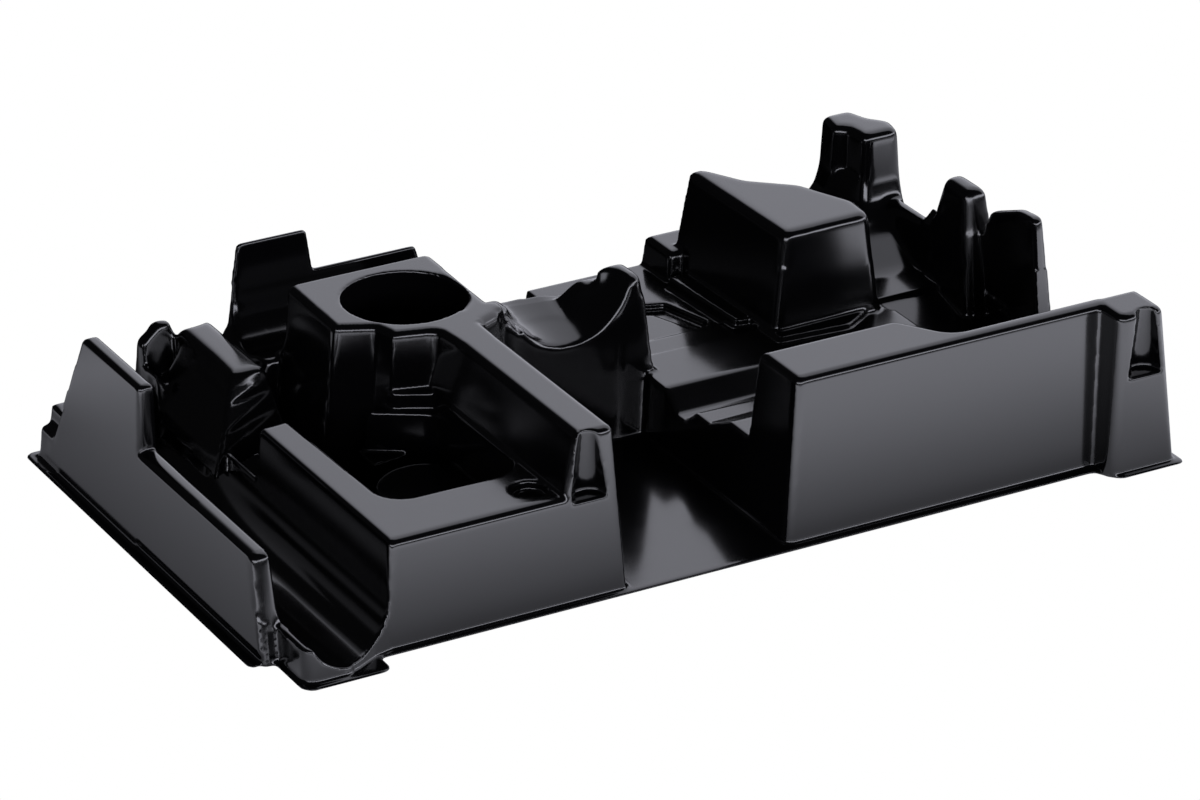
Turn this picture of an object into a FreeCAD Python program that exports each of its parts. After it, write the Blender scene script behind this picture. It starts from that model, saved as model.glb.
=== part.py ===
"""Formed plastic tray that holds a power tool and its parts in a carrying case.

One thin sheet of plastic is drawn over a mould, so every wall has the same
thickness and the back is open. The show side is built as one solid, the back
side as the same solid set in by the sheet, and the second is cut from the first.
Lengths are millimetres. Places are first given from the front left corner of
the cut edge, with X to the right, Y to the back and Z up.
"""
import FreeCAD, Part
import math
import os

from FreeCAD import Vector

# Overall size and sheet
WIDTH = 380.0
DEPTH = 220.0
SHEET = 1.5
DECK = 66.0
LEAN = 0.06
EDGE_ROUND = 2.8
SHARP_BEHIND = 3.6

# Cut edge of the sheet
RECESS = 9.75
JOG_X = 9.2
JOG_Y = 25.6
LEFT_FOOT_END = 43.8
RIGHT_FOOT_START = 344.4

# Left wall
WALL_X = 7.0
WALL_WIDTH = 6.4
LOW_WALL_TOP = 40.0
LOW_WALL_START = 33.6
HIGH_WALL_START = 127.3
HIGH_WALL_END = 175.5
WALL_SLOPE = 0.53
REAR_WALL_TOP = 15.0

# Round-bottomed trough beside the left wall
TROUGH_X = 30.8
TROUGH_RADIUS = 17.3
TROUGH_FLOOR = 4.5
TROUGH_BACK_WALL = 7.0
TROUGH_FLARE = 0.076
MOUTH_FRONT = 3.6
MOUTH_TOP = 14.2

# Left block with its ledge, bar and pillar
BLOCK_FRONT = 16.0
LEDGE = 43.0
LEDGE_LEFT = 49.7
LEDGE_BACK = 119.5
BAR_LEFT = 126.7
BAR_RIGHT = 141.6
BAR_LEAN = 0.28
NICHE_X = 130.6
NICHE_FLOOR = 40.0
NICHE_RADIUS = 7.3
NICHE_TOP_RADIUS = 3.4
DIMPLE_X = 113.0
DIMPLE_Y = 27.5
DIMPLE_RADIUS = 6.5
DIMPLE_DEPTH = 4.0

# Deep pocket behind the ledge
POCKET_LEFT = 64.0
POCKET_RIGHT = 119.5
POCKET_FRONT = 42.0
POCKET_FLOOR = 6.0
POCKET_ROUND = 8.0
POCKET_BACK_LEFT = 126.0
POCKET_BACK_RIGHT = 111.0
POCKET_SHELF = 36.0
POCKET_DISC_X = 102.0
POCKET_DISC_Y = 85.0
POCKET_DISC_RADIUS = 19.0
POCKET_DISC_TOP = 22.0
POCKET_CORNER_TOP = 20.0

# Deck with the round hole
DECK_LEFT = 92.5
DECK_RIGHT = 152.6
HOLE_X = 127.0
HOLE_Y = 150.3
HOLE_RADIUS = 23.8
HOLE_FLOOR = 9.0

# Rear trough, tower and rail behind the deck
BACK_Y = 216.0
REAR_TROUGH_SETBACK = 19.2
REAR_TROUGH_Y = BACK_Y - REAR_TROUGH_SETBACK
REAR_TROUGH_RADIUS = 16.6
REAR_TROUGH_FLOOR = 34.9
TOWER_TOP = 71.0
TOWER_LEFT = 89.0
TOWER_RIGHT = 118.0
RAIL_TOP = 54.0
RAIL_RIGHT = 164.5

# Humps at the left back
HUMP_LEFT = 60.5
HUMP_WIDTH = 13.0
HUMP_TOP = 45.5
HUMP_LENGTH = 32.0
HUMP_BACK_GAP = 8.0
KNOB_X = 57.0
KNOB_TOP = 47.5
KNOB_ROUND = 3.4
CLEFT_X = 53.0
CLEFT_RADIUS = 6.5
CLEFT_FLOOR = 28.0

# Centre channel and the cradle across it
CHANNEL_RIGHT = 218.0
CHANNEL_LEAN = 0.09
CRADLE_FRONT = 124.0
CRADLE_BACK = 147.0
CRADLE_TOP = 59.0
CRADLE_X = DECK_RIGHT + 29.9
CRADLE_RADIUS = 28.5
CRADLE_FLOOR = 45.5
CRADLE_TILT = 0.25
CRADLE_END_ROUND = 12.0
HORN_WIDTH = 13.0
HORN_DEPTH = 16.0

# Right-hand bed and its steps, heights from front to back
BED_RIGHT = 371.0
BED_FRONT_STEP = 31.5
BED_MID_STEP = 25.0
BED_DIP = 19.0
BED_BACK = 26.0
BED_REAR = 24.5
BED_FLOOR = 23.0
BED_FRONT_END = 60.0
BED_MID_FRONT = 74.0
BED_MID_BACK = 84.0
BED_DIP_FRONT = 91.0
BED_DIP_BACK = 97.0
BED_STRIP_BACK = 107.0
BED_STEP_Y = 136.0
BED_REAR_STEP_Y = 150.0
RAMP_LEFT = 328.0
RAMP_FRONT = 120.0
RAMP_BACK = 143.0
RAMP_LOW = 17.0
RAMP_HIGH = 22.5
GROOVE_DEPTH = 3.0

# Right block
RIGHT_BLOCK_BACK = 44.0
RIGHT_BLOCK_NECK = 24.2
NECK_START = 285.0

# Corner pillar at the right front
PILLAR_LEFT = 350.0
PILLAR_RIGHT = 369.5
PILLAR_FRONT = 4.0
PILLAR_BACK = 23.5
PILLAR_NICHE_X = 361.8

# House-shaped block on its plinth
HOUSE_LEFT = 281.0
HOUSE_WIDTH = 40.5
HOUSE_FRONT = 130.5
HOUSE_BACK = 201.0
FLANK_LEAN = 0.19
PLINTH_TOP = 28.0

# Right wall with its pier, peak and corner tower, and the shelf between them
RIGHT_WALL_X = 372.5
RIGHT_WALL_WIDTH = 5.0
PIER_FRONT = 89.5
PIER_BACK = 121.0
PIER_TOP = 69.0
PIER_SHOULDER = 60.0
DIP_TOP = 49.5
PEAK_LEFT = 363.0
PEAK_FRONT = 130.5
PEAK_DEPTH = 17.0
PEAK_TOP = 66.0
SHELF_LEFT = 326.0
SHELF_FRONT = 143.5
SHELF_TOP = 35.0
SHELF_SLOPE = 0.55
SEAT_X = 347.5
SEAT_RADIUS = 18.0
SEAT_FLOOR = 37.0
CORNER_LEFT = 345.7
CORNER_DEPTH = 27.0
CORNER_FLARE_TOP = 47.0

# Low wall along the back
BACK_RAIL_TOP = 18.0
BACK_STEP_X = 268.0
BACK_STEP_TOP = 35.0

BELOW = -2.0
ABOVE = 120.0


def moved_corners(corners, moves):
    """Corners (u, v, radius) with each side moved outwards by its own amount."""
    count = len(corners)
    if not isinstance(moves, (list, tuple)):
        moves = [moves] * count
    area = sum(corners[i - 1][0] * corners[i][1] - corners[i][0] * corners[i - 1][1]
               for i in range(count))
    turn = 1.0 if area > 0 else -1.0
    sides = []
    for i in range(count):
        a, b = corners[i], corners[(i + 1) % count]
        along = Vector(b[0] - a[0], b[1] - a[1], 0).normalize()
        out = Vector(along.y, -along.x, 0) * turn
        sides.append((Vector(a[0], a[1], 0) + out * moves[i], along, out))
    result = []
    for i in range(count):
        start, along, out = sides[i - 1]
        here, direction, other = sides[i]
        cross = along.x * direction.y - along.y * direction.x
        gap = here - start
        reach = (gap.x * direction.y - gap.y * direction.x) / cross
        point = start + along * reach
        grow = min(moves[i - 1], moves[i]) if cross * turn > 0 else -max(moves[i - 1], moves[i])
        radius = corners[i][2]
        result.append((point.x, point.y, max(radius + grow, 0.4) if radius else 0.0))
    return result


def rounded_wire(corners, place):
    """Closed wire through the corners, with each corner turned by an arc."""
    count = len(corners)
    points = [Vector(c[0], c[1], 0) for c in corners]
    ends = []
    for i in range(count):
        before, here, after = points[i - 1], points[i], points[(i + 1) % count]
        back, ahead = (before - here), (after - here)
        half = back.getAngle(ahead) / 2
        room = 0.46 * min(back.Length, ahead.Length)
        reach = min(corners[i][2] / math.tan(half), room)
        if corners[i][2] == 0:
            ends.append((here, None, here))
            continue
        radius = reach * math.tan(half)
        middle_way = (back.normalize() + ahead.normalize()).normalize()
        middle = here + middle_way * (radius / math.sin(half) - radius)
        ends.append((here + back * reach, middle, here + ahead * reach))
    edges = []
    for i in range(count):
        first, middle, last = ends[i]
        if middle is not None:
            arc = Part.Arc(place(first), place(middle), place(last))
            edges.append(arc.toShape())
        next_first = ends[(i + 1) % count][0]
        edges.append(Part.makeLine(place(last), place(next_first)))
    return Part.Wire(edges)


def side_slice(corners, move, start, end):
    """Outline given in Y and Z, drawn out along X."""
    wire = rounded_wire(moved_corners(corners, move), lambda p: Vector(start, p.x, p.y))
    return Part.Face(wire).extrude(Vector(end - start, 0, 0))


def front_slice(corners, move, start, end):
    """Outline given in X and Z, drawn out along Y."""
    wire = rounded_wire(moved_corners(corners, move), lambda p: Vector(p.x, start, p.y))
    return Part.Face(wire).extrude(Vector(0, end - start, 0))


def foot_of(inset):
    """Height that a form starts from: the back side reaches below the table."""
    return BELOW if inset else 0.0


def edges_at(shape, height):
    low, high = height - 0.01, height + 0.01
    return [e for e in shape.Edges if low < e.BoundBox.ZMin and e.BoundBox.ZMax < high]


def flat_walled(lower, upper, low, high):
    """Solid with flat walls between two outlines whose sides are parallel."""
    base = [Vector(c[0], c[1], low) for c in lower]
    roof = [Vector(c[0], c[1], high) for c in upper]
    rings = [base[::-1], roof]
    for i in range(len(base)):
        rings.append([base[i - 1], base[i], roof[i], roof[i - 1]])
    faces = Part.makeCompound([Part.Face(Part.makePolygon(ring + ring[:1])) for ring in rings])
    faces.sewShape()
    return Part.Solid(faces.Shells[0])


def fitting_radius(corners, i):
    """Radius of a corner, limited so that its arc leaves half of each side free."""
    here = Vector(corners[i][0], corners[i][1], 0)
    before = Vector(corners[i - 1][0], corners[i - 1][1], 0) - here
    after = Vector(corners[(i + 1) % len(corners)][0], corners[(i + 1) % len(corners)][1], 0) - here
    room = 0.45 * min(before.Length, after.Length)
    return round(min(corners[i][2], room * math.tan(before.getAngle(after) / 2)), 3)


def round_posts(solid, corners, height, inset):
    """Round the upright edges by the radii of the corners where they meet this height."""
    smallest = SHARP_BEHIND if inset else 0.5
    radii = [fitting_radius(corners, i) for i in range(len(corners))]
    for radius in sorted(set(r for r in radii if r > smallest)):
        tops = [Vector(c[0], c[1], height) for c, r in zip(corners, radii) if r == radius]
        posts = [e for e in solid.Edges if e.BoundBox.ZLength > 0.5
                 and any(v.Point.distanceToPoint(t) < 0.01 for v in e.Vertexes for t in tops)]
        solid = solid.makeFillet(radius, posts)
    return solid


def round_rim(solid, corners, height, radius):
    """Round the rim at this height, by no more than its tightest corner allows."""
    limits = [0.95 * fitting_radius(corners, i) for i in range(len(corners)) if corners[i][2]]
    return solid.makeFillet(min([radius] + limits), edges_at(solid, height))


def boss(corners, top, inset, leans=LEAN, edge=EDGE_ROUND):
    """Raised form whose outline is given at its top and whose walls lean outwards."""
    if not isinstance(leans, (list, tuple)):
        leans = [leans] * len(corners)
    roof = top - inset
    foot = foot_of(inset)
    upper = moved_corners(corners, [lean * inset - inset for lean in leans])
    lower = moved_corners(corners, [lean * (top - foot) - inset for lean in leans])
    solid = round_posts(flat_walled(lower, upper, foot, roof), upper, roof, inset)
    return round_rim(solid, upper, roof, edge) if edge and not inset else solid


def pocket(corners, mouth, floor, inset, leans=LEAN, edge=EDGE_ROUND):
    """Hollow whose outline is given at its mouth and whose walls lean inwards."""
    if not isinstance(leans, (list, tuple)):
        leans = [leans] * len(corners)
    bottom = floor - inset
    lower = moved_corners(corners, [inset - lean * (mouth - bottom) for lean in leans])
    upper = moved_corners(corners, [inset + lean * (ABOVE - mouth) for lean in leans])
    solid = round_posts(flat_walled(lower, upper, bottom, ABOVE), upper, ABOVE, inset)
    return round_rim(solid, lower, bottom, edge) if edge and not inset else solid


def u_section(middle, floor, radius, inset, flare):
    """Corners of an upright slot with a half-round bottom, opening out to the right."""
    r = radius + inset
    low = floor - inset
    spread = flare * (ABOVE - floor - radius)
    return [(middle - r, low, r), (middle + r, low, r),
            (middle + r + spread, ABOVE, 0), (middle - r, ABOVE, 0)]


def joined(shapes):
    return shapes[0].multiFuse(shapes[1:])


def cut_edge_corners():
    """Outline of the trimmed sheet on the table."""
    return [(JOG_X, 0, 5), (LEFT_FOOT_END, 0, 4), (LEFT_FOOT_END, RECESS, 1.5),
            (RIGHT_FOOT_START, RECESS, 1.5), (RIGHT_FOOT_START + 6, 0, 5),
            (WIDTH, 0, 3), (WIDTH, DEPTH, 4), (0, DEPTH, 4), (0, JOG_Y, 3), (JOG_X, JOG_Y, 5)]


def left_wall(inset):
    """Thin wall along the left side: low at the front, high behind it."""
    right = WALL_X + WALL_WIDTH
    low = boss([(WALL_X, LOW_WALL_START, 2.1), (right, LOW_WALL_START, 0),
                (right, HIGH_WALL_END, 0), (WALL_X, HIGH_WALL_END, 0)],
               LOW_WALL_TOP, inset, [0.25, 0.01, LEAN, LEAN], 1.9)
    tall = boss([(WALL_X, HIGH_WALL_START, 2.1), (right, HIGH_WALL_START, 0),
                 (right, HIGH_WALL_END, 0), (WALL_X, HIGH_WALL_END, 0)],
                DECK, inset, [0.01, 0.01, WALL_SLOPE, LEAN * 0.75], 1.9)
    rear = boss([(WALL_X - 2, HIGH_WALL_END, 0), (right + 3, HIGH_WALL_END, 0),
                 (right + 3, BACK_Y - 1, 0), (WALL_X - 2, BACK_Y - 1, 0)],
                REAR_WALL_TOP, inset, LEAN, 1.9)
    return joined([low, tall, rear])


def trough_bed(inset):
    """Body that the left trough is sunk into, with its open mouth at the front."""
    right = TROUGH_X + TROUGH_RADIUS
    top = TROUGH_FLOOR + TROUGH_RADIUS
    inside = LEDGE_LEFT + 4
    bed = boss([(WALL_X + 3, LOW_WALL_START, 0), (right + 3.5, LOW_WALL_START, 0),
                (right + 3.5, BACK_Y, 0), (WALL_X + 3, BACK_Y, 0)], top, inset, LEAN, 0)
    back = LOW_WALL_START + 4
    mouth = boss([(JOG_X + 2.6, MOUTH_FRONT, 5), (TROUGH_X, MOUTH_FRONT, 5), (TROUGH_X, back, 0),
                  (JOG_X + 2.6, back, 0)], MOUTH_TOP, inset, LEAN, 0)
    cheek = boss([(TROUGH_X - 3, MOUTH_FRONT + 1, 4), (LEFT_FOOT_END - 2, BLOCK_FRONT - 4, 6),
                  (inside, BLOCK_FRONT - 1.4, 0), (inside, back, 0), (TROUGH_X - 3, back, 0)],
                 top + 3, inset, LEAN, 0)
    return joined([bed, mouth, cheek])


def trough_hollow(inset):
    return front_slice(u_section(TROUGH_X, TROUGH_FLOOR, TROUGH_RADIUS, inset, TROUGH_FLARE), 0,
                       -10, BACK_Y - TROUGH_BACK_WALL + inset)


def left_block(inset):
    """Ledge, bar and front pillar of the left block."""
    front = BLOCK_FRONT - 1.4
    ledge = boss([(LEDGE_LEFT, front, 3), (BAR_RIGHT - 3, front, 0),
                  (BAR_RIGHT - 3, LEDGE_BACK + 8, 0), (LEDGE_LEFT, LEDGE_BACK, 4)],
                 LEDGE, inset, [LEAN, LEAN, LEAN, 0.08])
    bar = boss([(BAR_LEFT, BLOCK_FRONT, 3), (BAR_RIGHT, BLOCK_FRONT, 3),
                (BAR_RIGHT, HOLE_Y, 0), (BAR_LEFT, HOLE_Y, 0)],
               DECK, inset, [LEAN, LEAN, LEAN, BAR_LEAN])
    return joined([ledge, bar])


def deck_corners():
    return [(DECK_LEFT, 140, 3), (106, 133.5, 0), (109, 124, 0),
            (BAR_LEFT - 2, 119.5, 5), (BAR_LEFT, 100, 0), (BAR_RIGHT, 100, 0),
            (BAR_RIGHT + 0.4, 116.5, 0), (DECK_RIGHT, 121.5, 3),
            (DECK_RIGHT + 1.5, REAR_TROUGH_Y + 4, 0), (DECK_LEFT + 1.5, REAR_TROUGH_Y + 4, 0)]


def deck(inset):
    """High deck that carries the round hole."""
    leans = [0.1] * 4 + [LEAN] * 4 + [LEAN, 0.12]
    return boss(deck_corners(), DECK, inset, leans)


def rear_wall(inset):
    """Tower and rail that stand behind the rear trough."""
    tower = boss([(TOWER_LEFT, REAR_TROUGH_Y, 0), (TOWER_RIGHT, REAR_TROUGH_Y, 0),
                  (TOWER_RIGHT, BACK_Y, 0), (TOWER_LEFT, BACK_Y, 0)],
                 TOWER_TOP, inset, [LEAN, 0.14, 0.02, 0.14], 2.3)
    rail = boss([(TOWER_RIGHT - 10, REAR_TROUGH_Y, 0), (RAIL_RIGHT, REAR_TROUGH_Y, 0),
                 (RAIL_RIGHT, BACK_Y, 0), (TOWER_RIGHT - 10, BACK_Y, 0)],
                RAIL_TOP, inset, [LEAN, 0.3, 0.02, LEAN], 2.3)
    skirt = boss([(TOWER_LEFT - 6, REAR_TROUGH_Y - REAR_TROUGH_RADIUS, 4),
                  (DECK_RIGHT, REAR_TROUGH_Y - REAR_TROUGH_RADIUS, 0),
                  (DECK_RIGHT, BACK_Y, 0), (TOWER_LEFT - 6, BACK_Y, 0)],
                 REAR_TROUGH_FLOOR + 2, inset, [LEAN, LEAN, 0.02, 0.5], 0)
    return joined([tower, rail, skirt])


def rear_trough_hollow(inset):
    section = u_section(REAR_TROUGH_Y, REAR_TROUGH_FLOOR, REAR_TROUGH_RADIUS, inset, 0)
    return side_slice(section, 0, TOWER_LEFT - 12, RAIL_RIGHT + 40)


def humps(inset):
    """Two rounded humps between the trough and the tower, with a knob on the first."""
    right = HUMP_LEFT + HUMP_WIDTH
    back = BACK_Y - HUMP_BACK_GAP
    front = back - HUMP_LENGTH
    ridge = boss([(HUMP_LEFT, front, 5), (right, front, 5), (right, back, 0), (HUMP_LEFT, back, 0)],
                 HUMP_TOP, inset, [0.75, 0.3, LEAN, 0.45], 4)
    wedge = boss([(KNOB_X - 10, BACK_Y - 16, 3), (KNOB_X + 3.5, BACK_Y - 16, 0),
                  (KNOB_X + 3.5, BACK_Y, 0), (KNOB_X - 10, BACK_Y, 0)],
                 HUMP_TOP - 3, inset, [0.3, 0.1, 0.02, 0.1], 2.8)
    left = KNOB_X - 2.5 - KNOB_ROUND
    knob = boss([(left, BACK_Y - 8, 0), (left + 2 * KNOB_ROUND, BACK_Y - 8, 0),
                 (left + 2 * KNOB_ROUND, BACK_Y - 1, 0), (left, BACK_Y - 1, 0)],
                KNOB_TOP, inset, 0.1, 2.8)
    return joined([ridge, wedge, knob])


def cleft_hollow(inset):
    return front_slice(u_section(CLEFT_X, CLEFT_FLOOR, CLEFT_RADIUS, inset, 0), 0,
                       BACK_Y - 60, BACK_Y - 4 + inset)


def cradle(inset):
    """Wall across the channel with a rounded seat, and the horn at its right."""
    left = DECK_RIGHT - 3
    right = CHANNEL_RIGHT - 2
    body = boss([(left, CRADLE_FRONT, 0), (right, CRADLE_FRONT, 0), (right, CRADLE_BACK, 0),
                 (left, CRADLE_BACK, 0)], CRADLE_TOP, inset, [LEAN, CHANNEL_LEAN, LEAN, 0], 3)
    horn_left = right - HORN_WIDTH
    horn_back = CRADLE_FRONT + HORN_DEPTH
    horn = boss([(horn_left, CRADLE_FRONT, 4), (right - 1, CRADLE_FRONT, 4),
                 (right - 1, horn_back, 0), (horn_left, horn_back, 0)],
                DECK, inset, [LEAN, CHANNEL_LEAN, 0.1, LEAN], 3.8)
    shoulder = boss([(left, CRADLE_FRONT, 0), (DECK_RIGHT + 4, CRADLE_FRONT, 3),
                     (DECK_RIGHT + 4, CRADLE_FRONT + 7, 0), (left, CRADLE_FRONT + 7, 0)], DECK, inset,
                    [LEAN, LEAN, 0.1, 0], 0)
    return joined([body, horn, shoulder])


def cradle_hollow(inset):
    """Tilted round seat for the body of the tool."""
    radius = CRADLE_RADIUS + inset
    reach = 20
    low = CRADLE_FLOOR + CRADLE_RADIUS - CRADLE_TILT * reach
    seat = Part.makeCylinder(radius, reach * 1.8 + inset, Vector(CRADLE_X, CRADLE_FRONT - reach, low),
                             Vector(0, 1, CRADLE_TILT))
    end = [e for e in seat.Edges if e.BoundBox.YMin > CRADLE_FRONT]
    if inset:
        return seat.makeChamfer(CRADLE_END_ROUND * 0.59, end)
    return seat.makeFillet(CRADLE_END_ROUND, end)


def bed_profile(foot):
    front = BLOCK_FRONT + 4
    return [(front, foot, 0), (BACK_Y, foot, 0), (BACK_Y, BED_FLOOR, 0),
            (BED_REAR_STEP_Y + 0.5, BED_FLOOR, 0), (BED_REAR_STEP_Y - 0.5, BED_REAR, 0),
            (BED_STEP_Y + 0.5, BED_REAR, 0), (BED_STEP_Y - 0.5, BED_BACK, 0),
            (BED_STRIP_BACK, BED_BACK, 2), (BED_DIP_BACK, BED_DIP, 0), (BED_DIP_FRONT, BED_DIP, 0),
            (BED_MID_BACK, BED_MID_STEP, 0), (BED_MID_FRONT, BED_MID_STEP, 0),
            (BED_FRONT_END, BED_FRONT_STEP, 0), (front, BED_FRONT_STEP, 0)]


def right_bed(inset):
    """Stepped floor between the channel and the right wall."""
    steps = side_slice(bed_profile(foot_of(inset)), -inset, CHANNEL_RIGHT - 20, RIGHT_WALL_X + 20)
    front = BLOCK_FRONT + 8
    trim = boss([(CHANNEL_RIGHT, front, 0), (BED_RIGHT, front, 0), (BED_RIGHT, BACK_Y, 3),
                 (CHANNEL_RIGHT, BACK_Y, 3)], DECK, inset, [LEAN, LEAN, LEAN, CHANNEL_LEAN], 0)
    return steps.common(trim)


def ramp_hollow(inset):
    """Low floor and ramp in the bed beside the right wall."""
    above = BED_FRONT_STEP + 10
    profile = [(RAMP_FRONT - 22, RAMP_LOW, 2), (RAMP_FRONT, RAMP_LOW, 2), (RAMP_BACK, RAMP_HIGH, 0),
               (RAMP_BACK, above, 0), (RAMP_FRONT - 22, above, 0)]
    right = RIGHT_WALL_X - RIGHT_WALL_WIDTH - 1
    return side_slice(profile, inset, RAMP_LEFT - inset, right + inset)


def groove_hollow(inset):
    """Hooked groove in the bed behind the cradle."""
    left = CHANNEL_RIGHT + 15
    front = BED_REAR_STEP_Y + 2
    corners = [(left, front + 26, 0), (left + 14, front + 20, 0), (left + 21, front + 1, 0),
               (left + 25, front, 0), (left + 29, front + 5, 0), (left + 23, front + 27, 0),
               (left + 3, front + 34, 0)]
    return pocket(corners, BED_FLOOR, BED_FLOOR - GROOVE_DEPTH, inset, 0.02, 0)


def right_block(inset):
    front = BLOCK_FRONT + 1
    right = PILLAR_LEFT + 4
    corners = [(CHANNEL_RIGHT, front, 3), (right, front, 0),
               (right, RIGHT_BLOCK_NECK, 0), (NECK_START + 4, RIGHT_BLOCK_NECK, 12),
               (NECK_START - 9, RIGHT_BLOCK_BACK, 5), (CHANNEL_RIGHT, RIGHT_BLOCK_BACK, 0)]
    return boss(corners, DECK, inset, [LEAN] * 5 + [CHANNEL_LEAN])


def corner_pillar(inset):
    return boss([(PILLAR_LEFT, PILLAR_FRONT, 4.5), (PILLAR_RIGHT, PILLAR_FRONT, 3),
                 (PILLAR_RIGHT, PILLAR_BACK, 0), (PILLAR_LEFT, PILLAR_BACK, 0)],
                DECK, inset, [0.03, 0.11, LEAN, 0.05])


def niche(middle, front, inset):
    """Tapered half-round niche in the front of a pillar."""
    height = DECK + 4 - NICHE_FLOOR
    return Part.makeCone(NICHE_RADIUS + inset, NICHE_TOP_RADIUS + inset, height + inset,
                         Vector(middle, front, NICHE_FLOOR - inset))


def house(inset):
    """Large house-shaped block on a low plinth."""
    left = HOUSE_LEFT
    right = HOUSE_LEFT + HOUSE_WIDTH
    front = HOUSE_FRONT
    back = HOUSE_BACK
    main = boss([(left, front, 3), (right - 1.5, front + 1, 4), (right, front + 15.5, 0),
                 (right - 10.5, front + 39.5, 0), (left + 14, back - 17, 10), (left + 5, back, 0),
                 (left - 1.5, back, 0)],
                DECK, inset, [0.14, 0.08, 0.08, 0.06, 0.06, 0.02, FLANK_LEAN])
    plinth = boss([(left - 8, front - 10.2, 0), (left + 22.3, front - 12.5, 6),
                   (right + 5.5, front + 2.5, 0), (right + 5.5, front + 19.5, 0),
                   (right - 9.5, back - 9, 0), (left - 17, back - 11, 0),
                   (left - 14.5, front + 12.5, 0), (left - 8, front + 11.5, 0)],
                  PLINTH_TOP, inset, 0.1, 0)
    return joined([main, plinth])


def right_wall(inset):
    """Thin upright wall along the right side, with its outline seen from that side."""
    foot = foot_of(inset)
    peak_back = PEAK_FRONT + PEAK_DEPTH
    outline = [(PIER_FRONT - 8, foot, 0), (BACK_Y, foot, 0), (BACK_Y, SHELF_TOP, 0),
               (peak_back + 20, SHELF_TOP, 10), (peak_back, DIP_TOP, 0), (PEAK_FRONT - 6, DIP_TOP, 2),
               (PIER_BACK, PIER_SHOULDER, 5), (PIER_FRONT + 12, PIER_TOP - 1, 8), (PIER_FRONT, PIER_TOP, 3)]
    slab = side_slice(outline, -inset, RIGHT_WALL_X - 30, RIGHT_WALL_X + 20)
    left = RIGHT_WALL_X - RIGHT_WALL_WIDTH
    trim = boss([(left, PIER_FRONT, 0), (RIGHT_WALL_X, PIER_FRONT, 2.1),
                 (RIGHT_WALL_X, BACK_Y, 0), (left, BACK_Y, 0)],
                PIER_TOP, inset, [0.15, 0.05, 0.02, 0.01], 0)
    peak = boss([(PEAK_LEFT, PEAK_FRONT, 4), (RIGHT_WALL_X, PEAK_FRONT, 0),
                 (RIGHT_WALL_X, peak_back, 0), (PEAK_LEFT, peak_back, 4)],
                PEAK_TOP, inset, [0.25, 0.05, 0.25, 0.12], 3.7)
    return joined([slab.common(trim), peak])


def shelf(inset):
    """Raised shelf behind the ramp, whose front slopes up to a round seat."""
    right = RIGHT_WALL_X - 2
    low = boss([(SHELF_LEFT, SHELF_FRONT, 3), (right, SHELF_FRONT, 0), (right, BACK_Y, 0),
                (SHELF_LEFT - 14, BACK_Y, 0)], SHELF_TOP - 6, inset, LEAN, 0)
    front = SHELF_FRONT + SHELF_SLOPE * 20
    high = boss([(SHELF_LEFT - 12, front, 0), (PEAK_LEFT + 3, front, 0),
                 (PEAK_LEFT + 3, front + 3, 0), (SHELF_LEFT - 12, front + 3, 0)],
                SHELF_TOP + 14, inset, [SHELF_SLOPE, 0, 0.3, 0.1], 0)
    behind = boss([(SHELF_LEFT + 4, front, 0), (PEAK_LEFT + 3, front, 0),
                   (PEAK_LEFT + 3, BACK_Y - 2, 0), (SHELF_LEFT + 4, BACK_Y - 2, 0)],
                  SHELF_TOP + 8, inset, [SHELF_SLOPE, 0, 0.02, 0.3], 0)
    seat = Part.makeCylinder(SEAT_RADIUS + inset, DEPTH,
                             Vector(SEAT_X, front - 30, SEAT_FLOOR + SEAT_RADIUS), Vector(0, 1, 0))
    return joined([low, joined([high, behind]).cut(seat)])


def corner_tower(inset):
    """Tower at the right back corner, with a groove in its left side and a flared foot."""
    right = RIGHT_WALL_X - 3
    left = CORNER_LEFT
    back = BACK_Y - 2
    front = back - CORNER_DEPTH
    corners = [(left, back - 12, 0), (left + 5, back - 16, 0), (left + 6, front, 3.2),
               (right - 2, front, 3.2), (right, front + 10, 0),
               (right - 6, front + 17, 0), (right - 9, back, 0), (left + 2.3, back, 0)]
    tower = boss(corners, TOWER_TOP, inset, [0.05, 0.05, 0.05, 0.06, 0.06, 0.06, 0.02, 0.06], 3)
    plan = [(left, back - 12, 0), (left + 6, front, 0), (right - 2, front, 0),
            (right, front + 10, 0), (right - 6, front + 17, 0), (right - 9, back, 0),
            (left + 2.3, back, 0)]
    forms = [tower]
    for height, lean in ((CORNER_FLARE_TOP + 5, 0.3), (CORNER_FLARE_TOP - 1, 0.8)):
        foot = moved_corners(plan, 0.055 * (TOWER_TOP - height) - 0.5)
        forms.append(boss(foot, height, inset, [lean, lean, 0.1, 0.12, 0.12, 0.02, lean], 0))
    return joined(forms)


def back_rails(inset):
    low = boss([(DECK_RIGHT, BACK_Y - 5, 0), (BACK_STEP_X, BACK_Y - 5, 0),
                (BACK_STEP_X, BACK_Y, 0), (DECK_RIGHT, BACK_Y, 0)], BACK_RAIL_TOP, inset,
               [0.2, LEAN, 0.02, LEAN], 0)
    high = boss([(BACK_STEP_X, BACK_Y - 20, 3), (CORNER_LEFT + 6, BACK_Y - 20, 0),
                 (CORNER_LEFT + 6, BACK_Y, 0), (BACK_STEP_X, BACK_Y, 0)],
                BACK_STEP_TOP, inset, [0.2, LEAN, 0.02, 0.15], 2.8)
    return joined([low, high])


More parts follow.
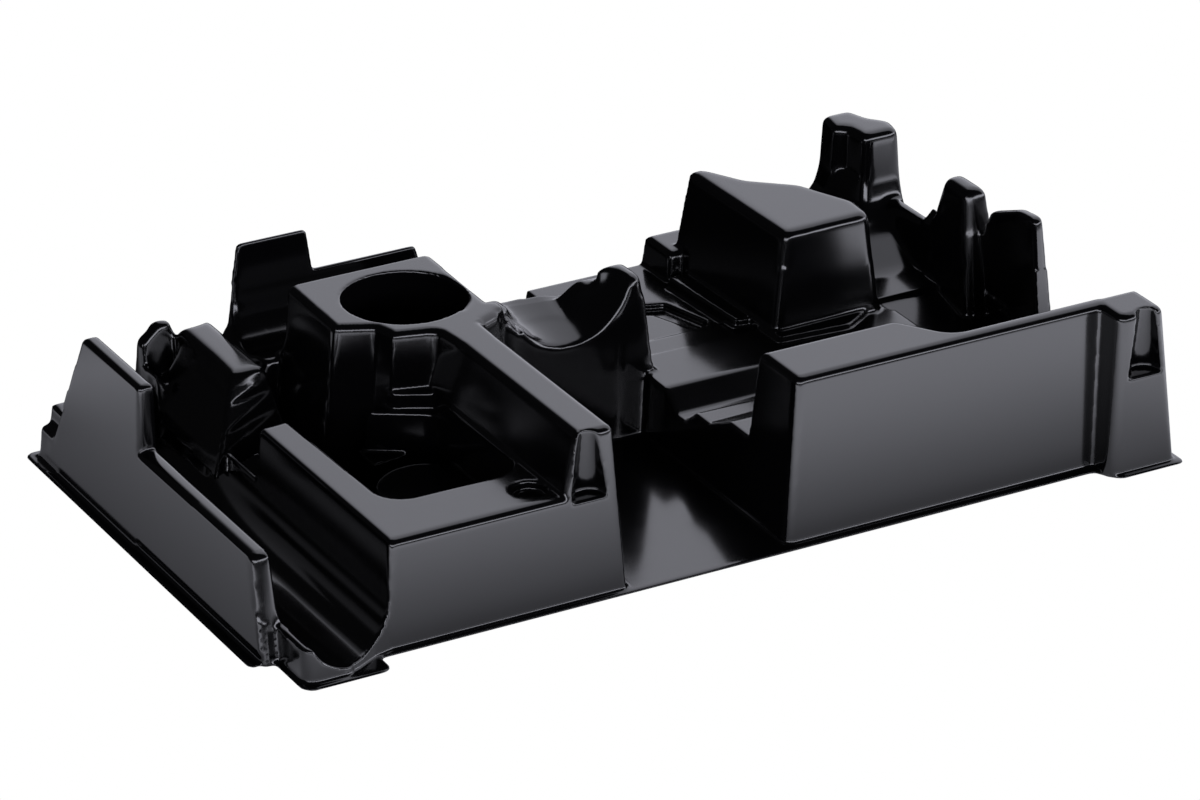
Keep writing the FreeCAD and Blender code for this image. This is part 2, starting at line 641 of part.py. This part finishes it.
def pocket_hollow(inset):
    """Deep pocket, and the shelf that its back wall steps out to below the deck."""
    deep = pocket([(POCKET_LEFT, POCKET_FRONT, POCKET_ROUND), (POCKET_RIGHT, POCKET_FRONT, POCKET_ROUND),
                   (POCKET_RIGHT, POCKET_BACK_RIGHT, 4), (95.5, POCKET_BACK_LEFT, 0),
                   (DECK_LEFT - 3, 136, 0), (POCKET_LEFT - 2, LEDGE_BACK + 20, 0)],
                  LEDGE, POCKET_FLOOR, inset, 0.05, 0)
    shelf_cut = pocket([(DECK_LEFT - 3, 100, 0), (POCKET_RIGHT + 0.5, 100, 0), (POCKET_RIGHT + 1, 114, 0),
                        (107, 121, 0), (104, 130, 0), (DECK_LEFT - 3, 136, 0)],
                       LEDGE, POCKET_SHELF, inset, 0.05, 0)
    return deep.fuse(shelf_cut)


def pocket_forms(inset):
    """Round boss and three-cornered boss on the floor of the pocket."""
    foot = foot_of(inset)
    disc = Part.makeCylinder(POCKET_DISC_RADIUS - inset, POCKET_DISC_TOP - inset - foot,
                             Vector(POCKET_DISC_X, POCKET_DISC_Y, foot))
    corner = boss([(94.5, 113.4, 0), (111, 116, 0), (95, 128, 0)], POCKET_CORNER_TOP, inset, LEAN, 0)
    return joined([disc, corner])


def round_hole(inset):
    return Part.makeCylinder(HOLE_RADIUS + inset, ABOVE, Vector(HOLE_X, HOLE_Y, HOLE_FLOOR - inset))


def dimple(inset):
    return Part.makeCylinder(DIMPLE_RADIUS + inset, DIMPLE_DEPTH * 2 + inset,
                             Vector(DIMPLE_X, DIMPLE_Y, LEDGE - DIMPLE_DEPTH - inset))


def floor_plate(inset):
    """Floors at table level between the raised forms."""
    wire = rounded_wire(cut_edge_corners(), lambda p: Vector(p.x, p.y, 0))
    return Part.Face(wire).extrude(Vector(0, 0, SHEET))


def raised_form(inset):
    """Everything that stands up from the flange, set in by the sheet for the back side."""
    left = joined([left_wall(inset), trough_bed(inset), left_block(inset), deck(inset),
                   rear_wall(inset)])
    left = left.cut(joined([trough_hollow(inset), rear_trough_hollow(inset)]))
    left = left.fuse(humps(inset)).cut(cleft_hollow(inset))
    left = left.cut(pocket_hollow(inset)).cut(dimple(inset)).fuse(pocket_forms(inset))
    left = left.cut(niche(NICHE_X, BLOCK_FRONT - 1.4, inset))
    middle = cradle(inset).cut(cradle_hollow(inset))
    bed = right_bed(inset).cut(ramp_hollow(inset)).cut(groove_hollow(inset))
    right = joined([bed, right_block(inset), corner_pillar(inset), house(inset),
                    right_wall(inset), shelf(inset), corner_tower(inset), back_rails(inset)])
    right = right.cut(niche(PILLAR_NICHE_X, PILLAR_FRONT, inset))
    return joined([left, middle, right]).cut(round_hole(inset))


def tray():
    show_side = raised_form(0.0).fuse(floor_plate(0.0))
    back_side = raised_form(SHEET)
    return show_side.cut(back_side).removeSplitter()


def main():
    os.makedirs("parts", exist_ok=True)
    solid = tray()
    solid.translate(Vector(-WIDTH / 2, -DEPTH / 2, 0))
    if solid.Solids and len(solid.Solids) == 1:
        solid = solid.Solids[0]
    print("solids", len(solid.Solids), "valid", solid.isValid(), "volume", round(solid.Volume))
    solid.exportStep("parts/tray.step")


main()
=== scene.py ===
"""Looks of a formed plastic tray: one glossy black sheet with soft folds, on a pale studio floor."""

import math

import bmesh
import bpy
from mathutils import Matrix, Vector
from mathutils.bvhtree import BVHTree


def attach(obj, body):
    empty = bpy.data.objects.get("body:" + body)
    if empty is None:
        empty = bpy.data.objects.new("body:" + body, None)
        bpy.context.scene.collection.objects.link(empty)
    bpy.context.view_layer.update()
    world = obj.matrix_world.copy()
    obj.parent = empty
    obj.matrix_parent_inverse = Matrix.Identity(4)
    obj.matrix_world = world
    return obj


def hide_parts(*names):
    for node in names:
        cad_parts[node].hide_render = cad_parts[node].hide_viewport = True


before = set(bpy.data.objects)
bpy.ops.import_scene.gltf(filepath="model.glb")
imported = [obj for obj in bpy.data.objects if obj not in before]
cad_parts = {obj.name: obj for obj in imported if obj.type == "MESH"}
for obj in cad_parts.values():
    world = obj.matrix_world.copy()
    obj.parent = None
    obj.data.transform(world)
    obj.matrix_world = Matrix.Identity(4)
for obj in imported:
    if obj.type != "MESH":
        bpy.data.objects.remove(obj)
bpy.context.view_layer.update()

MM = 0.001

# Half the tray's length and depth, from its middle to its front left corner, in millimetres
HALF_LENGTH = 190
HALF_DEPTH = 110

# Sheet: its thickness, the size of the cells it is softened in, and how much it is softened
SHEET = 1.5 * MM
VOXEL = 0.6 * MM
SOFTEN_PASSES = 14
SOFTER_PASSES = 50
SKIRT_DEPTH = 6 * MM
CUT_HEIGHT = 0.75 * MM
SKIN_FACES = 150000
BACK_FACES = 40000

# Show side: the ways from which a face can be seen, and the distances that sort its faces
SEEN_WAYS = ((0, 0, 1), (0, -1, 0.1), (-1, 0, 0.1), (1, 0, 0.1), (0, 1, 0.1))
WELD = 0.002 * MM
RAY_START = 0.25 * MM
RESTING_HEIGHT = 0.01 * MM
GAP_HEIGHT = 2 * MM
RIM_HEIGHT = 1 * MM

# Forms where the sheet bridged the mould most softly: centre from the middle of the tray, and reach
SOFT_FORMS = (((-124, 82, 42), 34), ((-6, 26, 56), 46), ((172, 92, 46), 30), ((177, 29, 62), 18),
              ((182, -8, 64), 22), ((112, 52, 66), 42), ((158, 58, 44), 26), ((-178, 96, 18), 20),
              ((-180, -94, 34), 22))

# The forms below are in millimetres from the front left corner.
# Seat of the cradle: a bowl at its front, and a line of (place, height) at its back
SEAT_X = 184.0
SEAT_RADIUS = 26.0
SEAT_FLOOR = 44.5
SEAT_FRONT = 123.6
SEAT_BACK = 152.0
SEAT_REAR_LINE = ((160, 55), (167.4, 54.8), (185.9, 53.9), (194.4, 51.6), (203.5, 54), (216, 58.2))
SEAT_LEFT = 163
SEAT_RIGHT = 202
SEAT_STEP = 3
SEAT_FILLING = 12
SEAT_COVER = 0.3
BOWL_REACH = 0.96

# Where the seat starts to rise to its left rim, its horn and its back
SEAT_RIM = 167
SEAT_HORN = 190
SEAT_END = 158

# Slope right of the house: its floor, where it starts and steepens, and its edges
RAMP_FLOOR = 23.0
RAMP_START = 135
RAMP_TURN = 156
RAMP_GENTLE = 0.1
RAMP_STEEPER = 0.42
RAMP_LEFT = 327
RAMP_RIGHT = 358
RAMP_FRONT = 126
RAMP_BACK = 176

# Place within which the seat and the slope are pressed down
PRESSED_LEFT = 155
PRESSED_RIGHT = 360
PRESSED_FRONT = 120
PRESSED_BACK = 180

# Fin: height, left, front and right of each level
FIN_LEVELS = ((16, 41.5, 138, 82), (22, 44.5, 141, 80), (28, 49, 147, 78),
              (36, 54.5, 154, 76), (42, 57.5, 158, 75), (45.5, 60.5, 162, 72.5))
FIN_NOSE = 158
FIN_FOOT = 16
FIN_LEAN = 0.08
FIN_BACK = 209
FIN_LEFT_BACK = 204
FIN_TURN = 2.5

# Ear behind the fin: height, left, right and front of each level
EAR_LEVELS = ((16, 43.5, 66, 205), (41, 45.5, 60, 209), (47, 53, 58.5, 210))
EAR_BACK = 214

# Outer face of the left wall
WALL_TOP = 66.0
WALL_OUTSIDE = 7.0
WALL_DRAFT = 0.045
WALL_FOOT = 4
WALL_FRONT = 18
WALL_BACK = 206
WALL_REACH = 2
FACING_LEFT = -0.8

# Plastic: how far apart its ripples, its fine peel and its duller patches lie
RIPPLE = 24 * MM
PEEL = 1.6 * MM
PATCH = 38 * MM
RIPPLE_HEIGHT = 0.12 * MM
PEEL_HEIGHT = 0.02 * MM
GLOSSY_ROUGHNESS = 0.11
DULL_ROUGHNESS = 0.16

# Camera, matched to the photograph: its turn, its tilt and where it stands
CAMERA_TURN = math.radians(29.2729)
CAMERA_TILT = math.radians(25.6961)
CAMERA_DISTANCE = 2102.33 * MM
CAMERA_TARGET = Vector((0, 0, 30 * MM))
CAMERA_SHIFT_RIGHT = -1.5032 * MM
CAMERA_SHIFT_UP = -4.1927 * MM
CAMERA_LENS = 168.0
CAMERA_SENSOR = 36.0

# Table: how bright it is painted in reflections, with painted shadow near the tray and behind it and painted
# light in front of it, and the stretches over which that changes
FLOOR_SIZE = 12.0
PAINTED_SHADOW_NEAR = 0.22
FLOOR_FAR = 1.15
PAINTED_LIGHT_FRONT = 2.9
FLOOR_EDGE = 0.25
PAINTED_SHADE_FAR_BACK = 0.04
PAINTED_SHADE_BEHIND = 0.95
NEAR_STRETCH = (-40 * MM, 150 * MM)
EDGE_STRETCH = (250 * MM, 550 * MM)
FRONT_STRETCH = (-130 * MM, -70 * MM)
BACK_STRETCH = (170 * MM, 250 * MM)
BEHIND_STRETCH = (110 * MM, 150 * MM)
LEFT_STRETCH = (-230 * MM, -170 * MM)

# Room: how bright the panel behind the tray, the band in front of it and the rest look in reflections
PANEL_SIDE = (0.872, -0.489, 0)
PANEL_WAY = (0.77, 0.64, 0)
PANEL_SIDE_EDGE = (-0.32, -0.08)
PANEL_TOP_EDGE = (0.33, 0.48)
PANEL_LIGHT = 1.5
BAND_LIGHT = 6.5
BAND_TURN = (-0.5, -0.1)
BAND_LOW_EDGE = (0.13, 0.2)
BAND_HIGH_EDGE = (0.28, 0.4)
ROOM_LIGHT = 0.02


def linear(hex_colour):
    """sRGB hex colour as linear red, green, blue and alpha."""
    values = [int(hex_colour[i:i + 2], 16) / 255 for i in (1, 3, 5)]
    return [v / 12.92 if v <= 0.04045 else ((v + 0.055) / 1.055) ** 2.4 for v in values] + [1.0]


def add_node(tree, kind, settings=None, links=None):
    """Add a shader node, set its sockets and properties by name, and link its inputs."""
    node = tree.nodes.new(kind)
    for name, value in (settings or {}).items():
        if name in node.inputs:
            node.inputs[name].default_value = value
        else:
            setattr(node, name, value)
    for name, source in (links or {}).items():
        tree.links.new(source, node.inputs[name])
    return node


def new_material(name):
    """Empty material with nodes."""
    material = bpy.data.materials.new(name)
    material.use_nodes = True
    material.node_tree.nodes.clear()
    return material


def moulded_polystyrene():
    """High-impact polystyrene sheet, black right through, drawn over a polished mould.

    The eye sees a deep black with clear soft reflections, a faint ripple where the sheet
    stretched, and slightly duller patches where it cooled first.
    """
    material = new_material("moulded_polystyrene")
    tree = material.node_tree
    place = add_node(tree, "ShaderNodeTexCoord").outputs["Object"]
    ripple = add_node(tree, "ShaderNodeTexNoise",
                      {"Scale": 1 / RIPPLE, "Detail": 2.0, "Roughness": 0.4}, {"Vector": place})
    peel = add_node(tree, "ShaderNodeTexNoise",
                    {"Scale": 1 / PEEL, "Detail": 2.0, "Roughness": 0.5}, {"Vector": place})
    patches = add_node(tree, "ShaderNodeTexNoise",
                       {"Scale": 1 / PATCH, "Detail": 4.0, "Roughness": 0.6}, {"Vector": place})
    wave = add_node(tree, "ShaderNodeBump", {"Strength": 0.25, "Distance": RIPPLE_HEIGHT},
                    {"Height": ripple.outputs["Fac"]})
    grain = add_node(tree, "ShaderNodeBump", {"Strength": 0.10, "Distance": PEEL_HEIGHT},
                     {"Height": peel.outputs["Fac"], "Normal": wave.outputs["Normal"]})
    dull = add_node(tree, "ShaderNodeMapRange",
                    {"From Min": 0.3, "From Max": 0.7,
                     "To Min": GLOSSY_ROUGHNESS, "To Max": DULL_ROUGHNESS},
                    {"Value": patches.outputs["Fac"]})
    shader = add_node(tree, "ShaderNodeBsdfPrincipled",
                      {"Base Color": linear("#050506"), "IOR": 1.52},
                      {"Roughness": dull.outputs["Result"], "Normal": grain.outputs["Normal"]})
    add_node(tree, "ShaderNodeOutputMaterial", {}, {"Surface": shader.outputs["BSDF"]})
    return material


def show_side(cad_mesh):
    """The upper skin of the sheet: the faces that see out past the rest, upwards or sideways."""
    skin = bmesh.new()
    skin.from_mesh(cad_mesh)
    bmesh.ops.remove_doubles(skin, verts=skin.verts, dist=WELD)
    tree = BVHTree.FromBMesh(skin)
    ways = [Vector(way) for way in SEEN_WAYS]
    hidden = []
    for face in skin.faces:
        middle = face.calc_center_median()
        start = middle + face.normal * RAY_START
        resting = face.normal.z < -0.5 and middle.z < RESTING_HEIGHT
        if resting or all(tree.ray_cast(start, way)[0] is not None for way in ways):
            hidden.append(face)
    bmesh.ops.delete(skin, geom=hidden, context="FACES")
    gaps = [e for e in skin.edges if e.is_boundary and max(v.co.z for v in e.verts) > GAP_HEIGHT]
    bmesh.ops.holes_fill(skin, edges=gaps, sides=0)
    return skin


def add_form(skin, rings):
    """Add a closed form through rings of as many points, in millimetres from the front left corner."""
    corner = Vector((HALF_LENGTH, HALF_DEPTH, 0))
    levels = [[skin.verts.new((Vector(point) - corner) * MM) for point in ring] for ring in rings]
    skin.faces.new(levels[0][::-1])
    skin.faces.new(levels[-1])
    for low, high in zip(levels, levels[1:]):
        for i in range(len(low)):
            skin.faces.new((low[i - 1], low[i], high[i], high[i - 1]))


def height_along(line, place):
    """Height at a place on a line of (place, height) points."""
    for (low, first), (high, second) in zip(line, line[1:]):
        if place <= high:
            return first + (second - first) * max(0.0, place - low) / (high - low)
    return line[-1][1]


def seat_height(x, y):
    """Seat of the cradle: a bowl at its front that runs out nearly level at its back."""
    across = max(-BOWL_REACH, min(BOWL_REACH, (x - SEAT_X) / SEAT_RADIUS))
    bowl = SEAT_FLOOR + SEAT_RADIUS * (1 - math.sqrt(1 - across ** 2))
    part = max(0.0, min(1.0, (y - SEAT_FRONT) / (SEAT_BACK - SEAT_FRONT)))
    return bowl + (height_along(SEAT_REAR_LINE, x) - bowl) * part


def seat(skin):
    """Fill the cradle up to its seat."""
    rings = []
    for y in (SEAT_FRONT, (SEAT_FRONT + SEAT_BACK) / 2, SEAT_BACK):
        ring = [(SEAT_RIGHT, y, SEAT_FLOOR - SEAT_FILLING), (SEAT_LEFT, y, SEAT_FLOOR - SEAT_FILLING)]
        ring += [(x, y, seat_height(x, y) - SEAT_COVER) for x in range(SEAT_LEFT, SEAT_RIGHT + 1, SEAT_STEP)]
        rings.append(ring)
    add_form(skin, rings)


def fin(skin):
    """Long fin behind the ledge, whose left flank runs down into the trough."""
    rings = []
    for height, left, front, right in FIN_LEVELS:
        nose = FIN_NOSE + (height - FIN_FOOT) * FIN_LEAN
        rings.append([(left, front, height), (right, nose, height),
                      (right, FIN_BACK, height), (left + FIN_TURN, FIN_LEFT_BACK, height)])
    add_form(skin, rings)


def ear(skin):
    """Small ear that stands at the back edge, behind the fin."""
    add_form(skin, [[(left, front, height), (right, front, height),
                     (right, EAR_BACK, height), (left, EAR_BACK, height)]
                    for height, left, right, front in EAR_LEVELS])


def filled_form(skin):
    """Close the skin below the cut edge, so that it can be softened as one solid form."""
    rim = [e for e in skin.edges if e.is_boundary and max(v.co.z for v in e.verts) < RIM_HEIGHT]
    made = bmesh.ops.extrude_edge_only(skin, edges=rim)["geom"]
    lowered = [g for g in made if isinstance(g, bmesh.types.BMVert)]
    for vertex in lowered:
        vertex.co.z = -SKIRT_DEPTH
    loops = [g for g in made if isinstance(g, bmesh.types.BMEdge) and g.is_boundary]
    bmesh.ops.holes_fill(skin, edges=loops, sides=0)
    seat(skin)
    fin(skin)
    ear(skin)
    bmesh.ops.recalc_face_normals(skin, faces=skin.faces)
    return skin


def apply_modifier(piece, kind, settings):
    """Give a piece a modifier and apply it at once."""
    modifier = piece.modifiers.new(kind.lower(), kind)
    for name, value in settings.items():
        setattr(modifier, name, value)
    with bpy.context.temp_override(object=piece, active_object=piece, selected_objects=[piece]):
        bpy.ops.object.modifier_apply(modifier=modifier.name)


def rise(steepness, distance):
    """Height gained on a slope that starts where the distance is 0."""
    return steepness * max(0, distance)


def pressed(x, y):
    """Height that the show side is pressed down to, in millimetres."""
    seat_edges = (rise(1, x - SEAT_HORN) + rise(1.6, SEAT_RIM - x)
                  + rise(4, y - SEAT_END) + rise(6, SEAT_FRONT - y))
    slope = RAMP_FLOOR + rise(RAMP_GENTLE, y - RAMP_START) + rise(RAMP_STEEPER, y - RAMP_TURN)
    slope_edges = (rise(4, x - RAMP_RIGHT) + rise(12, RAMP_LEFT - x)
                   + rise(4, y - RAMP_BACK) + rise(8, RAMP_FRONT - y))
    return min(seat_height(x, y) + seat_edges, slope + slope_edges)


def press_down(mesh):
    """Press the seat and the slope to their heights, and draw the left wall's outer face flat."""
    faces_left = [vertex.normal.x < FACING_LEFT for vertex in mesh.vertices]
    for vertex, left in zip(mesh.vertices, faces_left):
        x, y, z = vertex.co.x / MM + HALF_LENGTH, vertex.co.y / MM + HALF_DEPTH, vertex.co.z / MM
        outside = WALL_OUTSIDE - WALL_DRAFT * (WALL_TOP - z)
        if left and x < outside + WALL_REACH and WALL_FRONT < y < WALL_BACK and z > WALL_FOOT:
            vertex.co.x = (outside - HALF_LENGTH) * MM
        elif PRESSED_LEFT < x < PRESSED_RIGHT and PRESSED_FRONT < y < PRESSED_BACK:
            vertex.co.z = min(z, pressed(x, y)) * MM


def soften(piece):
    """Soften the folds of the whole form, and more round the soft forms."""
    apply_modifier(piece, "SMOOTH", {"factor": 0.5, "iterations": SOFTEN_PASSES})
    soft = piece.vertex_groups.new(name="soft")
    for middle, reach in SOFT_FORMS:
        middle = Vector(middle) * MM
        near = [v.index for v in piece.data.vertices if (v.co - middle).length < reach * MM]
        soft.add(near, 1.0, "REPLACE")
    apply_modifier(piece, "SMOOTH", {"factor": 0.5, "iterations": SOFTER_PASSES, "vertex_group": "soft"})


def trim(mesh):
    """Cut the form open at the height of the sheet's cut edge."""
    trimmed = bmesh.new()
    trimmed.from_mesh(mesh)
    everything = trimmed.verts[:] + trimmed.edges[:] + trimmed.faces[:]
    bmesh.ops.bisect_plane(trimmed, geom=everything, plane_co=(0, 0, CUT_HEIGHT),
                           plane_no=(0, 0, 1), clear_inner=True)
    trimmed.to_mesh(mesh)
    trimmed.free()


def formed_sheet(material):
    """The tray as a formed sheet: soft folds from a voxel form, and the sheet's own thickness."""
    skin = filled_form(show_side(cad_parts["tray"].data))
    mesh = bpy.data.meshes.new("formed_sheet")
    skin.to_mesh(mesh)
    skin.free()
    piece = bpy.data.objects.new("formed_sheet", mesh)
    bpy.context.scene.collection.objects.link(piece)
    apply_modifier(piece, "REMESH", {"mode": "VOXEL", "voxel_size": VOXEL, "adaptivity": 0.0})
    press_down(piece.data)
    soften(piece)
    trim(piece.data)
    faces = sum(len(p.vertices) - 2 for p in piece.data.polygons)
    apply_modifier(piece, "DECIMATE", {"ratio": min(1.0, SKIN_FACES / faces)})
    back = piece.vertex_groups.new(name="back")
    apply_modifier(piece, "SOLIDIFY", {"thickness": SHEET, "offset": -1, "shell_vertex_group": back.name})
    apply_modifier(piece, "DECIMATE", {"ratio": (SKIN_FACES + BACK_FACES) / (2 * SKIN_FACES),
                                       "vertex_group": back.name})
    piece.data.polygons.foreach_set("use_smooth", [True] * len(piece.data.polygons))
    even = piece.modifiers.new("even shading", "WEIGHTED_NORMAL")
    even.keep_sharp = True
    piece.data.materials.append(material)
    return piece


def camera():
    """Stand the camera where the photograph was taken from."""
    right = Vector((math.cos(CAMERA_TURN), -math.sin(CAMERA_TURN), 0))
    level = Vector((math.sin(CAMERA_TURN), math.cos(CAMERA_TURN), 0))
    ahead = level * math.cos(CAMERA_TILT) - Vector((0, 0, 1)) * math.sin(CAMERA_TILT)
    up = level * math.sin(CAMERA_TILT) + Vector((0, 0, 1)) * math.cos(CAMERA_TILT)
    place = CAMERA_TARGET + right * CAMERA_SHIFT_RIGHT + up * CAMERA_SHIFT_UP - ahead * CAMERA_DISTANCE
    data = bpy.data.cameras.new("camera")
    data.lens = CAMERA_LENS
    data.sensor_width = CAMERA_SENSOR
    data.clip_start = 0.05
    data.clip_end = 50
    view = bpy.data.objects.new("camera", data)
    matrix = Matrix((right, up, -ahead)).transposed().to_4x4()
    matrix.translation = place
    view.matrix_world = matrix
    bpy.context.scene.collection.objects.link(view)
    bpy.context.scene.camera = view


def ramp(tree, value, stretch, low=0.0, high=1.0):
    """Smooth step of a value from low to high over a stretch."""
    return add_node(tree, "ShaderNodeMapRange",
                    {"interpolation_type": "SMOOTHSTEP", "From Min": stretch[0], "From Max": stretch[1],
                     "To Min": low, "To Max": high}, {"Value": value}).outputs["Result"]


def joined(tree, operation, first, second):
    """Join two values by an operation of the math node."""
    node = add_node(tree, "ShaderNodeMath", {"operation": operation})
    for place, value in enumerate((first, second)):
        if isinstance(value, float):
            node.inputs[place].default_value = value
        else:
            tree.links.new(value, node.inputs[place])
    return node.outputs[0]


def along(tree, vector, axis):
    """How far a direction points along an axis."""
    node = add_node(tree, "ShaderNodeVectorMath", {"operation": "DOT_PRODUCT"})
    tree.links.new(vector, node.inputs[0])
    node.inputs[1].default_value = axis
    return node.outputs["Value"]


def distance_from_tray(tree, place):
    """How far a place on the table lies from the tray's edge."""
    beside = add_node(tree, "ShaderNodeVectorMath", {"operation": "ABSOLUTE"})
    tree.links.new(place, beside.inputs[0])
    away = add_node(tree, "ShaderNodeVectorMath", {"operation": "SUBTRACT"})
    tree.links.new(beside.outputs[0], away.inputs[0])
    away.inputs[1].default_value = (HALF_LENGTH * MM, HALF_DEPTH * MM, 0)
    outside = add_node(tree, "ShaderNodeVectorMath", {"operation": "MAXIMUM"})
    tree.links.new(away.outputs[0], outside.inputs[0])
    distance = add_node(tree, "ShaderNodeVectorMath", {"operation": "LENGTH"})
    tree.links.new(outside.outputs[0], distance.inputs[0])
    return distance.outputs["Value"]


def studio_white():
    """White paper on a table: clean white to the camera; in reflections it glows with painted shadow near
    the tray and behind it, and painted light in front of it.
    """
    material = new_material("studio_white")
    tree = material.node_tree
    path = add_node(tree, "ShaderNodeLightPath")
    place = add_node(tree, "ShaderNodeTexCoord").outputs["Object"]
    distance = distance_from_tray(tree, place)
    # Painted shadow: the table is darker close to the tray and behind it; painted light: brighter in front
    # of it. Only reflections see this.
    near = ramp(tree, distance, NEAR_STRETCH, PAINTED_SHADOW_NEAR, FLOOR_FAR)
    spread = joined(tree, "MULTIPLY", near, ramp(tree, distance, EDGE_STRETCH, 1.0, FLOOR_EDGE))
    back = along(tree, place, (0, 1, 0))
    front = ramp(tree, back, FRONT_STRETCH, PAINTED_LIGHT_FRONT, 1.0)
    far = ramp(tree, back, BACK_STRETCH, 1.0, PAINTED_SHADE_FAR_BACK)
    behind = joined(tree, "MULTIPLY", ramp(tree, back, BEHIND_STRETCH),
                    ramp(tree, along(tree, place, (1, 0, 0)), LEFT_STRETCH, 0.0, PAINTED_SHADE_BEHIND))
    shaded = joined(tree, "MULTIPLY", far, joined(tree, "SUBTRACT", 1.0, behind))
    mirrored = joined(tree, "MULTIPLY", joined(tree, "MULTIPLY", spread, front), shaded)
    seen = add_node(tree, "ShaderNodeEmission", {"Color": linear("#ffffff"), "Strength": 1.0})
    # Painted reflection: glossy rays see the table glow with this painted shade and light, which no lamp
    # makes
    painted_floor_reflection = add_node(tree, "ShaderNodeEmission", {"Color": linear("#f2f3ff")}, {"Strength": mirrored})
    paper = add_node(tree, "ShaderNodeBsdfDiffuse", {"Color": linear("#d0d0d0")})
    first = add_node(tree, "ShaderNodeMixShader", {}, {"Fac": path.outputs["Is Glossy Ray"]})
    tree.links.new(paper.outputs["BSDF"], first.inputs[1])
    tree.links.new(painted_floor_reflection.outputs["Emission"], first.inputs[2])
    second = add_node(tree, "ShaderNodeMixShader", {}, {"Fac": path.outputs["Is Camera Ray"]})
    tree.links.new(first.outputs["Shader"], second.inputs[1])
    tree.links.new(seen.outputs["Emission"], second.inputs[2])
    add_node(tree, "ShaderNodeOutputMaterial", {}, {"Surface": second.outputs["Shader"]})
    return material


def studio_floor():
    """Table that the tray lies on."""
    material = studio_white()
    plane = bmesh.new()
    bmesh.ops.create_grid(plane, x_segments=1, y_segments=1, size=FLOOR_SIZE / 2)
    mesh = bpy.data.meshes.new("studio_floor")
    plane.to_mesh(mesh)
    plane.free()
    floor = bpy.data.objects.new("studio_floor", mesh)
    mesh.materials.append(material)
    bpy.context.scene.collection.objects.link(floor)


def studio():
    """Dark room with a panel from overhead down behind the tray, and a bright band low in front."""
    world = bpy.data.worlds.new("studio")
    world.use_nodes = True
    tree = world.node_tree
    tree.nodes.clear()
    path = add_node(tree, "ShaderNodeLightPath")
    way = add_node(tree, "ShaderNodeTexCoord").outputs["Generated"]
    height = along(tree, way, (0, 0, 1))
    left = ramp(tree, along(tree, way, PANEL_SIDE), PANEL_SIDE_EDGE)
    behind = ramp(tree, along(tree, way, PANEL_WAY), PANEL_TOP_EDGE, 0.0, PANEL_LIGHT)
    panel = joined(tree, "MULTIPLY", left, behind)
    front = ramp(tree, along(tree, way, (0, 1, 0)), BAND_TURN, BAND_LIGHT, 0.0)
    low = joined(tree, "MULTIPLY", ramp(tree, height, BAND_LOW_EDGE),
                 ramp(tree, height, BAND_HIGH_EDGE, 1.0, 0.0))
    band = joined(tree, "MULTIPLY", low, front)
    room = joined(tree, "ADD", joined(tree, "ADD", panel, band), ROOM_LIGHT)
    mirrored = add_node(tree, "ShaderNodeBackground", {"Color": linear("#f2f3ff")}, {"Strength": room})
    seen = add_node(tree, "ShaderNodeBackground", {"Color": linear("#ffffff"), "Strength": 1.0})
    chosen = add_node(tree, "ShaderNodeMixShader", {}, {"Fac": path.outputs["Is Camera Ray"]})
    tree.links.new(mirrored.outputs["Background"], chosen.inputs[1])
    tree.links.new(seen.outputs["Background"], chosen.inputs[2])
    add_node(tree, "ShaderNodeOutputWorld", {}, {"Surface": chosen.outputs["Shader"]})
    bpy.context.scene.world = world
    studio_floor()
    bpy.context.scene.view_settings.view_transform = "Standard"


camera()
studio()
tray = formed_sheet(moulded_polystyrene())
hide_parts("tray")
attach(tray, "root")
